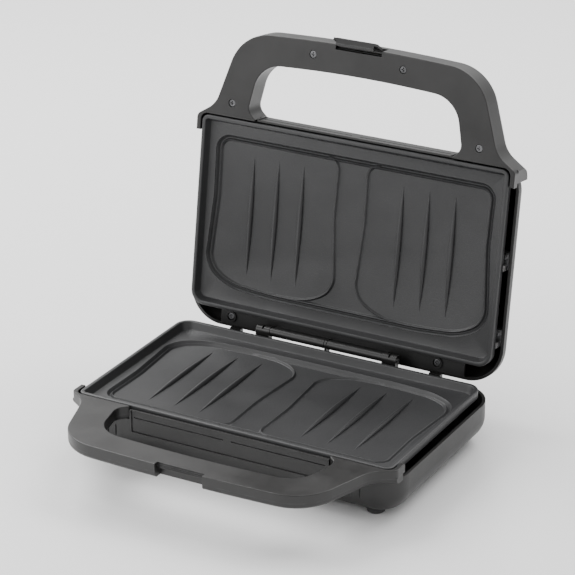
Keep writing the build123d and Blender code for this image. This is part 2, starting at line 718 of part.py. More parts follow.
def lamp_holder():
    """A moulded carrier behind the lenses, open at both ends of each lamp."""
    body = block(-26, 26, LENS_Y - 8, LENS_Y + 8, -FLOOR_IN, -FLOOR_IN + 10.0)
    for name, x in LENSES:
        body -= disc(x, LENS_Y, 4.6, -60, 0)
    return body


def indicator_lamps():
    """A neon lamp behind each lens."""
    lamps = []
    for name, x in LENSES:
        tube = disc(x, LENS_Y, 2.4, -HOUSING_DEPTH + 7.6, -HOUSING_DEPTH + 15)
        lamps.append(fillet(tube.edges().group_by(Axis.Z)[0], 1.8))
    return lamps


def plate_screws():
    """The four screws that come up through the base into the plate's posts."""
    screws = [screw(x, y, HOUSING_DEPTH - 1.2, 3.6, 2.4, 2.0, 22.0) for x, y in POSTS]
    return [mirror(one, about=Plane.XY) for one in screws]


def handle_cover_screws():
    """The lower handle's four screws, driven from below."""
    screws = [screw(x, y, LOWER_DEPTH - 0.4, 2.7, 1.9, 1.4, 6.5) for x, y in HANDLE_SCREWS]
    return [mirror(one, about=Plane.XY) for one in screws]


def handle_face_screws():
    """The four cross-head screws in the upper handle's face."""
    return [screw(x, y, -0.3, 3.1, 1.5, 1.3, 10.0) for x, y in HANDLE_SCREWS]


def strip_screws():
    """The two recessed screws in the lid's rear strip."""
    return [screw(x, y, -REAR_DROP + 0.9, 3.0, 1.5, 1.5, 9.0) for x, y in STRIP_SCREWS]


def knuckle_screws():
    """One screw down through each hinge knuckle's foot."""
    return [screw(x, KNUCKLE_SCREW_Y, -REAR_DROP + 3.6, 1.9, 1.4, 1.2, 7.0) for x in knuckle_middles()]


# ---- writing ----
def write(name, part):
    """Write a list of one or more separate pieces as one STEP file."""
    group = part[0] if len(part) == 1 else Compound(children=part)
    export_step(group, f"parts/{name}.step")


def main():
    """Build and write every piece at rest, with the lid open."""
    os.makedirs("parts", exist_ok=True)
    base = {
        "lower_housing": lower_housing(),
        "lower_handle": lower_handle(),
        "lower_handle_cover": lower_handle_cover(),
        "lower_plate": plate(posts=True),
        "lower_heating_element": heating_element(),
        "lower_reflector": reflector(),
        "rubber_feet": rubber_feet(),
        "plate_screws": plate_screws(),
        "handle_cover_screws": handle_cover_screws(),
        "hinge_knuckles": [hinge_knuckle(x) for x in knuckle_middles()] + [centre_lug()],
        "knuckle_screws": knuckle_screws(),
        "cord_gland": cord_gland(),
        "terminal_block": terminal_block(),
        "thermostat": thermostat(),
        "base_leads": base_leads(),
    }
    lid = {
        "upper_housing": upper_housing(),
        "upper_handle_face": upper_handle_face(),
        "upper_handle_shell": upper_handle_shell(),
        "handle_face_screws": handle_face_screws(),
        "upper_plate": plate(posts=False),
        "upper_heating_element": heating_element(),
        "upper_reflector": reflector(),
        "plate_brackets": plate_brackets(),
        "bracket_screws": bracket_screws(),
        "lid_hinge_strip": lid_hinge_strip(),
        "strip_screws": strip_screws(),
        "thermal_fuse": thermal_fuse(),
        "lamp_holder": lamp_holder(),
        "indicator_lamps": indicator_lamps(),
        "lid_leads": lid_leads(),
    }
    for name, x in LENSES:
        lid[name] = lens(x)
    for name, part in base.items():
        pieces = part if isinstance(part, list) else [part]
        write(name, [in_base(p) for p in pieces])
    for name, part in lid.items():
        pieces = part if isinstance(part, list) else [part]
        write(name, [in_lid(p) for p in pieces])
    write("hinge_pin", [hinge_pin()])
    write("latch_clip", [latch_clip()])
    write("latch_pin", [latch_pin()])


main()
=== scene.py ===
"""Looks for a two-slice panini press whose lid stands open."""

import json
import logging
from dataclasses import dataclass, field
from enum import Enum
from math import cos, radians, sin, sqrt, tan
from typing import Iterable, Sequence

import bmesh
import bpy
from mathutils import Matrix, Vector


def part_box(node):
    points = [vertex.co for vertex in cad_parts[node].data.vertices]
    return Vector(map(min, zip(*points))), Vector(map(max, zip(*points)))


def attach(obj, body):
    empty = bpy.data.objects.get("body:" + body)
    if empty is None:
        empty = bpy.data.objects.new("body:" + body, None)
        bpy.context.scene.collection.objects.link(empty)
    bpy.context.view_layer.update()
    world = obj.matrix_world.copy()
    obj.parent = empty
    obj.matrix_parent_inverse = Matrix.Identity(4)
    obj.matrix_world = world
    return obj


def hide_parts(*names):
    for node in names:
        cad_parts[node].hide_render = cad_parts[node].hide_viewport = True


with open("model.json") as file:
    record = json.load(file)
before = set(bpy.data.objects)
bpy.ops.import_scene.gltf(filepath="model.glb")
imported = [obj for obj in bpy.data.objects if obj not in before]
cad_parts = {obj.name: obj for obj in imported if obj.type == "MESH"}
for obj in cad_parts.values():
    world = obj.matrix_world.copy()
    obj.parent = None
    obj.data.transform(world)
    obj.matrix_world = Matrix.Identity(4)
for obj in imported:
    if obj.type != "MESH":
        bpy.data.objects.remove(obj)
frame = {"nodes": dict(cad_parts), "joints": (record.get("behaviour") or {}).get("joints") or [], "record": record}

LOG = logging.getLogger("panini_press")
MM = 0.001
DIVIDER_FRONT = 26.0  # how far from the middle a slice's own bead shows, in millimetres
DIVIDER_REAR = 60.0
Corner = tuple[float, float, float]
Colour = tuple[float, float, float]
Profile = Sequence[tuple[float, float]]


class Body(Enum):
    """The press's rigid bodies."""

    BASE = "base"
    LID = "lid"
    LATCH = "latch"


class Half(Enum):
    """The two nearly mirror-image halves."""

    LOWER = "lower"
    UPPER = "upper"


# ---------------------------------------------------------------- node tools
@dataclass
class Wiring:
    """A node tree with short calls for adding and joining nodes."""

    tree: bpy.types.NodeTree

    def add(self, kind: str, settings: dict | None = None, **inputs: object) -> bpy.types.Node:
        """Add a node, set its properties, and feed its inputs.

        Args:
            kind: the node's type name.
            settings: properties set on the node itself.
            inputs: values or sockets for inputs, named with underscores for blanks.

        Returns:
            The new node.
        """
        node = self.tree.nodes.new(kind)
        for name, value in (settings or {}).items():
            setattr(node, name, value)
        for name, value in inputs.items():
            self.feed(node, name.replace("_", " "), value)
        return node

    def feed(self, node: bpy.types.Node, name: str, value: object) -> None:
        """Give one input of a node a value or a link.

        Args:
            node: the node that is fed.
            name: the input's name, or its number as text.
            value: a socket to link, or a plain value.
        """
        socket = node.inputs[int(name)] if name.isdigit() else node.inputs[name]
        if isinstance(value, bpy.types.NodeSocket):
            self.tree.links.new(value, socket)
        else:
            socket.default_value = value

    def maths(self, operation: str, first: object, second: object = 0.0) -> bpy.types.NodeSocket:
        """Combine two values.

        Args:
            operation: the Math node's operation.
            first: a value or socket.
            second: a value or socket.

        Returns:
            The result's socket.
        """
        node = self.add("ShaderNodeMath", {"operation": operation})
        self.feed(node, "0", first)
        self.feed(node, "1", second)
        return node.outputs[0]

    def spread(
        self, value: object, low: float, high: float, to_low: float, to_high: float
    ) -> bpy.types.NodeSocket:
        """Map a value from one range to another, smoothly at both ends.

        Args:
            value: the socket that is mapped.
            low: where the old range starts.
            high: where the old range ends.
            to_low: where the new range starts.
            to_high: where the new range ends.

        Returns:
            The mapped socket.
        """
        node = self.add("ShaderNodeMapRange", {"interpolation_type": "SMOOTHSTEP"})
        for name, number in (("1", low), ("2", high), ("3", to_low), ("4", to_high)):
            self.feed(node, name, number)
        self.feed(node, "0", value)
        return node.outputs[0]

    def mix(self, share: object, first: object, second: object) -> bpy.types.NodeSocket:
        """Mix two colours by a share.

        Args:
            share: how much of the second colour shows.
            first: a colour or socket.
            second: a colour or socket.

        Returns:
            The mixed colour's socket.
        """
        node = self.add("ShaderNodeMix", {"data_type": "RGBA"})
        self.feed(node, "0", share)
        for number, value in (("6", first), ("7", second)):
            self.feed(node, number, value if isinstance(value, bpy.types.NodeSocket) else (*value, 1.0))
        return node.outputs[2]


def effect(name: str, inputs: Sequence[tuple[str, float]], outputs: Sequence[str]) -> Wiring:
    """Start a shader node group with named inputs and outputs.

    Args:
        name: the group's name.
        inputs: each input's name and default.
        outputs: the outputs' names, all plain values.

    Returns:
        Wiring on the new group's tree.
    """
    tree = bpy.data.node_groups.new(name, "ShaderNodeTree")
    for label, default in inputs:
        socket = tree.interface.new_socket(label, in_out="INPUT", socket_type="NodeSocketFloat")
        socket.default_value = default
    for label in outputs:
        tree.interface.new_socket(label, in_out="OUTPUT", socket_type="NodeSocketFloat")
    return Wiring(tree)


@dataclass
class Effects:
    """The effects that several finishes share, each built once."""

    grain: bpy.types.NodeTree = field(init=False)
    # mask for a painted highlight along edges
    edge_highlight: bpy.types.NodeTree = field(init=False)
    dust: bpy.types.NodeTree = field(init=False)
    brushing: bpy.types.NodeTree = field(init=False)

    def __post_init__(self) -> None:
        """Build the four groups."""
        self.grain = self._grain()
        self.edge_highlight = self._painted_edge_highlight()
        self.dust = self._dust()
        self.brushing = self._brushing()

    @staticmethod
    def _grain() -> bpy.types.NodeTree:
        """Fine moulded or sprayed grain, as a height and a slow unevenness."""
        w = effect("moulded_grain", [("Cell", 0.5), ("Patch", 30.0)], ["Height", "Fleck", "Unevenness"])
        source = w.add("NodeGroupInput")
        where = w.add("ShaderNodeTexCoord").outputs["Object"]
        fine = w.maths("DIVIDE", 1000.0, source.outputs["Cell"])
        cells = w.add("ShaderNodeTexVoronoi", {"feature": "SMOOTH_F1"},
                      Vector=where, Scale=fine, Smoothness=0.7)
        noise = w.add("ShaderNodeTexNoise", None, Vector=where, Detail=4.0,
                      Scale=w.maths("MULTIPLY", fine, 0.45))
        flecks = w.add("ShaderNodeTexVoronoi", None, Vector=where, Scale=w.maths("MULTIPLY", fine, 0.62))
        slow = w.add("ShaderNodeTexNoise", None, Vector=where, Detail=5.0, Roughness=0.6,
                     Scale=w.maths("DIVIDE", 1000.0, source.outputs["Patch"]))
        height = w.maths("ADD", w.maths("MULTIPLY", cells.outputs["Distance"], 0.7), noise.outputs[0])
        sink = w.add("NodeGroupOutput")
        w.feed(sink, "Height", height)
        w.feed(sink, "Fleck", w.spread(flecks.outputs["Distance"], 0.10, 0.26, 1.0, 0.0))
        w.feed(sink, "Unevenness", slow.outputs[0])
        return w.tree

    @staticmethod
    def _painted_edge_highlight() -> bpy.types.NodeTree:
        """A broken mask along edges, for a painted highlight where the edges catch the light."""
        w = effect("painted_edge_highlight", [("Radius", 0.0008), ("Patch", 8.0)], ["Mask"])
        source = w.add("NodeGroupInput")
        where = w.add("ShaderNodeTexCoord").outputs["Object"]
        round_edge = w.add("ShaderNodeBevel", {"samples": 4}, Radius=source.outputs["Radius"])
        flat = w.add("ShaderNodeNewGeometry").outputs["Normal"]
        dot = w.add("ShaderNodeVectorMath", {"operation": "DOT_PRODUCT"})
        w.feed(dot, "0", round_edge.outputs[0])
        w.feed(dot, "1", flat)
        edge = w.spread(dot.outputs["Value"], 0.995, 0.93, 0.0, 1.0)
        noise = w.add("ShaderNodeTexNoise", None, Vector=where,
                      Scale=w.maths("DIVIDE", 1000.0, source.outputs["Patch"]), Detail=6.0, Roughness=0.65)
        broken = w.spread(noise.outputs[0], 0.42, 0.62, 0.15, 1.0)
        sink = w.add("NodeGroupOutput")
        w.feed(sink, "Mask", w.maths("MULTIPLY", edge, broken))
        return w.tree

    @staticmethod
    def _dust() -> bpy.types.NodeTree:
        """A thin film of dust on faces that look up."""
        w = effect("settled_dust", [("Patch", 14.0)], ["Mask"])
        source = w.add("NodeGroupInput")
        where = w.add("ShaderNodeTexCoord").outputs["Object"]
        split = w.add("ShaderNodeSeparateXYZ", None, Vector=w.add("ShaderNodeNewGeometry").outputs["Normal"])
        up = w.spread(split.outputs["Z"], 0.25, 1.0, 0.0, 1.0)
        noise = w.add("ShaderNodeTexNoise", None, Vector=where,
                      Scale=w.maths("DIVIDE", 1000.0, source.outputs["Patch"]), Detail=8.0, Roughness=0.7)
        patchy = w.spread(noise.outputs[0], 0.35, 0.75, 0.0, 1.0)
        sink = w.add("NodeGroupOutput")
        w.feed(sink, "Mask", w.maths("MULTIPLY", up, patchy))
        return w.tree

    @staticmethod
    def _brushing() -> bpy.types.NodeTree:
        """Drawing lines along X, as a height and a streak."""
        w = effect("drawn_lines", [("Pitch", 0.3)], ["Height", "Streak"])
        source = w.add("NodeGroupInput")
        where = w.add("ShaderNodeTexCoord").outputs["Object"]
        stretch = w.add("ShaderNodeMapping", None, Vector=where, Scale=(0.02, 1.0, 1.0))
        scale = w.maths("DIVIDE", 1000.0, source.outputs["Pitch"])
        lines = w.add("ShaderNodeTexNoise", None, Vector=stretch.outputs[0], Scale=scale, Detail=3.0)
        streak = w.add("ShaderNodeTexNoise", None, Vector=stretch.outputs[0],
                       Scale=w.maths("MULTIPLY", scale, 0.15), Detail=4.0)
        sink = w.add("NodeGroupOutput")
        w.feed(sink, "Height", lines.outputs[0])
        w.feed(sink, "Streak", streak.outputs[0])
        return w.tree


@dataclass
class Paint:
    """A material that is being built around one Principled shader."""

    name: str
    wiring: Wiring = field(init=False)
    shader: bpy.types.Node = field(init=False)
    material: bpy.types.Material = field(init=False)

    def __post_init__(self) -> None:
        """Make the material and find its shader."""
        self.material = bpy.data.materials.new(self.name)
        self.material.use_nodes = True
        self.wiring = Wiring(self.material.node_tree)
        self.shader = self.material.node_tree.nodes["Principled BSDF"]

    def group(self, tree: bpy.types.NodeTree, **inputs: float) -> bpy.types.Node:
        """Place a shared effect with this material's own values.

        Args:
            tree: the effect's node group.
            inputs: its input values.

        Returns:
            The group node.
        """
        node = self.material.node_tree.nodes.new("ShaderNodeGroup")
        node.node_tree = tree
        for label, value in inputs.items():
            node.inputs[label].default_value = value
        return node

    def bump(self, height: object, depth: float, strength: float = 1.0) -> None:
        """Feed a height to the shader's normal.

        Args:
            height: the height's socket.
            depth: how deep a height of one is, in metres.
            strength: how strongly it shows.
        """
        node = self.wiring.add("ShaderNodeBump", None, Height=height, Distance=depth, Strength=strength)
        self.wiring.feed(self.shader, "Normal", node.outputs[0])


# ---------------------------------------------------------------- finishes
@dataclass(frozen=True)
class MouldedPlastic:
    """Satin moulded plastic with a fine grain, a painted highlight along its edges and a little dust."""

    name: str
    colour: Colour
    # lighter colour painted along edges as a highlight
    edge_highlight_colour: Colour = (0.085, 0.085, 0.088)
    roughness: float = 0.42
    cell: float = 0.55
    depth: float = 0.00005
    # strength of the painted edge highlight
    edge_highlight: float = 0.35
    dust: float = 0.015

    def build(self, effects: Effects) -> bpy.types.Material:
        """Make the material.

        Args:
            effects: the shared effects.

        Returns:
            The finished material.
        """
        paint = Paint(self.name)
        w = paint.wiring
        grain = paint.group(effects.grain, Cell=self.cell, Patch=45.0)
        edge_highlight = paint.group(effects.edge_highlight, Radius=0.0009, Patch=9.0)
        dust = paint.group(effects.dust, Patch=18.0)
        lifted = tuple(1.35 * c + 0.002 for c in self.colour)
        base = w.mix(w.spread(grain.outputs["Unevenness"], 0.3, 0.7, 0.0, 1.0), self.colour, lifted)
        # painted highlight: edges mixed towards a lighter grey
        base = w.mix(w.maths("MULTIPLY", edge_highlight.outputs["Mask"], self.edge_highlight), base, self.edge_highlight_colour)
        base = w.mix(w.maths("MULTIPLY", dust.outputs["Mask"], self.dust), base, (0.42, 0.40, 0.37))
        w.feed(paint.shader, "Base Color", base)
        rough = w.spread(grain.outputs["Unevenness"], 0.25, 0.75,
                         self.roughness - 0.05, self.roughness + 0.07)
        rough = w.maths("SUBTRACT", rough, w.maths("MULTIPLY", edge_highlight.outputs["Mask"], 0.10 * self.edge_highlight))
        w.feed(paint.shader, "Roughness", rough)
        paint.bump(grain.outputs["Height"], self.depth, 0.6)
        return paint.material


@dataclass(frozen=True)
class NonStickCoating:
    """Sprayed dark grey non-stick coating on cast aluminium."""

    name: str
    colour: Colour = (0.022, 0.0222, 0.0232)
    fleck: Colour = (0.058, 0.0585, 0.060)
    shaded: Colour = (0.014, 0.0142, 0.015)
    roughness: float = 0.48

    def build(self, effects: Effects) -> bpy.types.Material:
        """Make the material.

        Args:
            effects: the shared effects.

        Returns:
            The finished material.
        """
        paint = Paint(self.name)
        w = paint.wiring
        grain = paint.group(effects.grain, Cell=0.85, Patch=60.0)
        edge_highlight = paint.group(effects.edge_highlight, Radius=0.0007, Patch=6.0)
        base = w.mix(w.maths("MULTIPLY", grain.outputs["Fleck"], 0.34), self.colour, self.fleck)
        patches = w.spread(grain.outputs["Unevenness"], 0.35, 0.7, 0.0, 0.25)
        base = w.mix(patches, base, self.shaded)
        # painted highlight: lighter grey along the edges
        base = w.mix(w.maths("MULTIPLY", edge_highlight.outputs["Mask"], 0.35), base, (0.13, 0.13, 0.135))
        w.feed(paint.shader, "Base Color", base)
        w.feed(paint.shader, "Roughness",
               w.spread(grain.outputs["Unevenness"], 0.25, 0.75,
                        self.roughness - 0.06, self.roughness + 0.08))
        paint.shader.inputs["Coat Weight"].default_value = 0.12
        paint.shader.inputs["Coat Roughness"].default_value = 0.35
        paint.bump(grain.outputs["Height"], 0.00011, 0.8)
        return paint.material


@dataclass(frozen=True)
class DrawnMetal:
    """Drawn, pressed or plated metal with fine lines and tarnish."""

    name: str
    colour: Colour
    tarnish: Colour
    roughness: float = 0.32
    pitch: float = 0.25

    def build(self, effects: Effects) -> bpy.types.Material:
        """Make the material.

        Args:
            effects: the shared effects.

        Returns:
            The finished material.
        """
        paint = Paint(self.name)
        w = paint.wiring
        lines = paint.group(effects.brushing, Pitch=self.pitch)
        grain = paint.group(effects.grain, Cell=1.2, Patch=12.0)
        edge_highlight = paint.group(effects.edge_highlight, Radius=0.0004, Patch=3.0)
        base = w.mix(w.spread(grain.outputs["Unevenness"], 0.4, 0.7, 0.0, 0.8), self.colour, self.tarnish)
        # painted highlight: brighter metal along the edges
        painted_edge_colour = tuple(min(1.0, 1.7 * c + 0.04) for c in self.colour)
        base = w.mix(w.maths("MULTIPLY", edge_highlight.outputs["Mask"], 0.6), base, painted_edge_colour)
        w.feed(paint.shader, "Base Color", base)
        paint.shader.inputs["Metallic"].default_value = 1.0
        w.feed(paint.shader, "Roughness",
               w.spread(lines.outputs["Streak"], 0.3, 0.7, self.roughness - 0.06, self.roughness + 0.12))
        paint.bump(lines.outputs["Height"], 0.00003, 0.5)
        return paint.material


@dataclass(frozen=True)
class SoftRubber:
    """Matt rubber with a bloom and a pebbled skin."""

    name: str
    colour: Colour = (0.030, 0.030, 0.031)
    bloomed: Colour = (0.09, 0.088, 0.085)

    def build(self, effects: Effects) -> bpy.types.Material:
        """Make the material.

        Args:
            effects: the shared effects.

        Returns:
            The finished material.
        """
        paint = Paint(self.name)
        w = paint.wiring
        grain = paint.group(effects.grain, Cell=0.7, Patch=9.0)
        bloom = w.spread(grain.outputs["Unevenness"], 0.4, 0.75, 0.0, 0.35)
        base = w.mix(bloom, self.colour, self.bloomed)
        w.feed(paint.shader, "Base Color", base)
        w.feed(paint.shader, "Roughness", w.spread(grain.outputs["Unevenness"], 0.3, 0.7, 0.72, 0.88))
        paint.bump(grain.outputs["Height"], 0.00012, 0.8)
        return paint.material


@dataclass(frozen=True)
class ClearLens:
    """Tinted clear plastic, faceted inside."""

    name: str
    colour: Colour

    def build(self, effects: Effects) -> bpy.types.Material:
        """Make the material.

        Args:
            effects: the shared effects.

        Returns:
            The finished material.
        """
        paint = Paint(self.name)
        w = paint.wiring
        grain = paint.group(effects.grain, Cell=2.2, Patch=5.0)
        deep = tuple(0.45 * c for c in self.colour)
        w.feed(paint.shader, "Base Color", w.mix(grain.outputs["Fleck"], self.colour, deep))
        w.feed(paint.shader, "Roughness", w.spread(grain.outputs["Unevenness"], 0.3, 0.7, 0.07, 0.16))
        paint.shader.inputs["Transmission Weight"].default_value = 0.35
        paint.shader.inputs["Coat Weight"].default_value = 0.6
        paint.bump(grain.outputs["Height"], 0.00008, 0.3)
        return paint.material


@dataclass(frozen=True)
class Glaze:
    """Glazed ceramic or sleeved insulation, slightly mottled."""

    name: str
    colour: Colour
    mottle: Colour
    roughness: float = 0.25
    cell: float = 1.0

    def build(self, effects: Effects) -> bpy.types.Material:
        """Make the material.

        Args:
            effects: the shared effects.

        Returns:
            The finished material.
        """
        paint = Paint(self.name)
        w = paint.wiring
        grain = paint.group(effects.grain, Cell=self.cell, Patch=7.0)
        share = w.spread(grain.outputs["Unevenness"], 0.35, 0.7, 0.0, 0.7)
        w.feed(paint.shader, "Base Color", w.mix(share, self.colour, self.mottle))
        w.feed(paint.shader, "Roughness",
               w.spread(grain.outputs["Unevenness"], 0.3, 0.7, self.roughness, self.roughness + 0.15))
        paint.bump(grain.outputs["Height"], 0.00006, 0.5)
        return paint.material


@dataclass
class FinishBook:
    """Every material slot's finish."""

    effects: Effects
    made: dict[str, bpy.types.Material] = field(default_factory=dict)

    def __post_init__(self) -> None:
        """Build one material for each slot of the record."""
        black = (0.0085, 0.0082, 0.0080)
        recipes = [
            MouldedPlastic("housing_black", black, roughness=0.40, cell=0.6, depth=0.00007),
            MouldedPlastic("handle_black", (0.0090, 0.0086, 0.0084), roughness=0.34, cell=0.5, depth=0.00003),
            MouldedPlastic("cover_black", black, roughness=0.38, cell=0.6, depth=0.00005),
            MouldedPlastic("hinge_black", (0.0085, 0.0083, 0.0082), roughness=0.40, depth=0.00004),
            # the clip gets a stronger painted edge highlight
            MouldedPlastic("clip_black", (0.0110, 0.0107, 0.0105), roughness=0.34, depth=0.00003, edge_highlight=0.7),
            MouldedPlastic("gland_black", (0.022, 0.022, 0.023), roughness=0.50),
            MouldedPlastic("holder_black", (0.030, 0.030, 0.031), roughness=0.55),
            NonStickCoating("nonstick"),
            DrawnMetal("screw_steel", (0.16, 0.16, 0.165), (0.06, 0.06, 0.062), 0.34),
            DrawnMetal("pin_steel", (0.48, 0.48, 0.49), (0.30, 0.29, 0.28), 0.25),
            DrawnMetal("heater_sheath", (0.26, 0.23, 0.21), (0.12, 0.10, 0.11), 0.42),
            DrawnMetal("reflector_sheet", (0.66, 0.66, 0.65), (0.50, 0.48, 0.45), 0.30),
            DrawnMetal("bracket_sheet", (0.36, 0.36, 0.37), (0.22, 0.21, 0.20), 0.36),
            DrawnMetal("thermostat_body", (0.52, 0.51, 0.49), (0.35, 0.33, 0.30), 0.30),
            DrawnMetal("fuse_metal", (0.58, 0.47, 0.29), (0.36, 0.28, 0.18), 0.32),
            SoftRubber("foot_rubber"),
            ClearLens("lens_red", (0.50, 0.020, 0.012)),
            ClearLens("lens_green", (0.03, 0.32, 0.09)),
            ClearLens("lamp_glass", (0.85, 0.74, 0.62)),
            Glaze("ceramic_white", (0.72, 0.70, 0.64), (0.60, 0.57, 0.50)),
            Glaze("lead_sleeve", (0.60, 0.55, 0.46), (0.48, 0.43, 0.35), 0.75, 0.5),
        ]
        for recipe in recipes:
            self.made[recipe.name] = recipe.build(self.effects)

    def dress(self, piece: bpy.types.Object, slot: str) -> None:
        """Give a piece its slot's finish.

        Args:
            piece: the mesh object.
            slot: the record's material slot.
        """
        piece.data.materials.clear()
        piece.data.materials.append(self.made[slot])


# ---------------------------------------------------------------- places
@dataclass
class Places:
    """Turns half-frame sizes into the press's own frame, in metres.

    In the half frame the parting plane is z = 0 and a half goes down into negative z.
    """

    top: float = field(init=False)
    hinge: Vector = field(init=False)
    open_angle: float = field(init=False)

    def __post_init__(self) -> None:
        """Read the parting plane and the hinge from the frame."""
        joint = next(j for j in frame["joints"] if j["name"] == "lid_hinge")
        self.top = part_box("lower_plate")[1].z
        self.hinge = Vector(joint["pos_m"])
        self.open_angle = radians(joint["range_deg"][1])

    def matrix(self, half: Half) -> Matrix:
        """Where a half stands at rest.

        Args:
            half: the base's half or the lid's.

        Returns:
            The transform from the half frame.
        """
        if half is Half.LOWER:
            return Matrix.Translation((0, 0, self.top))
        shut = Matrix.Translation((0, 0, 2 * self.hinge.z - self.top)) @ Matrix.Diagonal((1, 1, -1, 1))
        turn = Matrix.Rotation(-self.open_angle, 4, "X")
        return Matrix.Translation(self.hinge) @ turn @ Matrix.Translation(-self.hinge) @ shut


BODY_OF = {Half.LOWER: Body.BASE, Half.UPPER: Body.LID}


# ---------------------------------------------------------------- mesh tools
def outline(
    bm: bmesh.types.BMesh, corners: Sequence[Corner], height: float, steps: int = 10
) -> bmesh.types.BMFace:
    """Make a flat face from sharp corners, then round each by its radius.

    Args:
        bm: the mesh that gets the face.
        corners: x, y and radius of each corner, in millimetres, anticlockwise.
        height: the face's height in millimetres.
        steps: segments in each rounded corner.

    Returns:
        The rounded face.
    """
    verts = [bm.verts.new((x * MM, y * MM, height * MM)) for x, y, _ in corners]
    face = bm.faces.new(verts)
    count = len(corners)
    for k, (x, y, radius) in enumerate(corners):
        if radius <= 0:
            continue
        before = Vector(corners[k - 1][:2]) - Vector((x, y))
        after = Vector(corners[(k + 1) % count][:2]) - Vector((x, y))
        reach = radius / tan(before.angle(after) / 2)
        arc = bmesh.ops.bevel(bm, geom=[verts[k]], offset=reach * MM, affect="VERTICES", segments=steps,
                              profile=0.5, material=-1, clamp_overlap=False)
        face = arc["verts"][0].link_faces[0]
    return face


def both_sides(half: Sequence[Corner]) -> list[Corner]:
    """Close a right-hand list of corners with its mirror image.

    Args:
        half: corners from the front to the rear on the right-hand side.

    Returns:
        All corners, anticlockwise.
    """
    return list(half) + [(-x, y, r) for x, y, r in reversed(half) if x > 0]


def steps_in(bm: bmesh.types.BMesh, face: bmesh.types.BMFace, profile: Profile) -> bmesh.types.BMFace:
    """Step a face inwards and up or down, ring by ring.

    Args:
        bm: the mesh.
        face: the face that is stepped.
        profile: pairs of inward step and rise, in millimetres.

    Returns:
        The face that is left in the middle.
    """
    for inward, rise in profile:
        if inward <= 0:
            made = bmesh.ops.extrude_discrete_faces(bm, faces=[face])
            face = made["faces"][0]
        else:
            bmesh.ops.inset_region(bm, faces=[face], thickness=inward * MM, depth=0.0,
                                   use_even_offset=True, use_boundary=True)
        bmesh.ops.translate(bm, verts=face.verts, vec=(0, 0, rise * MM))
    return face


def rim_edges(face: bmesh.types.BMFace) -> list[bmesh.types.BMEdge]:
    """The edges round a face."""
    return list(face.edges)


def finish_mesh(bm: bmesh.types.BMesh, name: str, place: Matrix, crease: float = 40.0) -> bpy.types.Object:
    """Turn a bmesh into a smooth-shaded object in the press's frame.

    Args:
        bm: the finished bmesh, which is freed.
        name: the object's name.
        place: the transform into the press's frame.
        crease: the angle above which an edge stays sharp, in degrees.

    Returns:
        The new object, at the origin.
    """
    bmesh.ops.remove_doubles(bm, verts=bm.verts, dist=0.000002)
    bmesh.ops.transform(bm, matrix=place, verts=bm.verts)
    bmesh.ops.recalc_face_normals(bm, faces=bm.faces)
    mesh = bpy.data.meshes.new(name)
    bm.to_mesh(mesh)
    bm.free()
    mesh.polygons.foreach_set("use_smooth", [True] * len(mesh.polygons))
    mesh.set_sharp_from_angle(angle=radians(crease))
    piece = bpy.data.objects.new(name, mesh)
    bpy.context.scene.collection.objects.link(piece)
    return piece


def settle(piece: bpy.types.Object, body: Body, nodes: Iterable[str], book: FinishBook, slot: str) -> None:
    """Put a piece on its body, in place of its CAD nodes, with its finish.

    Args:
        piece: the new piece.
        body: the body that it rides on.
        nodes: the CAD nodes that it stands for.
        book: the finishes.
        slot: its material slot.
    """
    book.dress(piece, slot)
    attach(piece, body.value)
    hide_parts(*nodes)


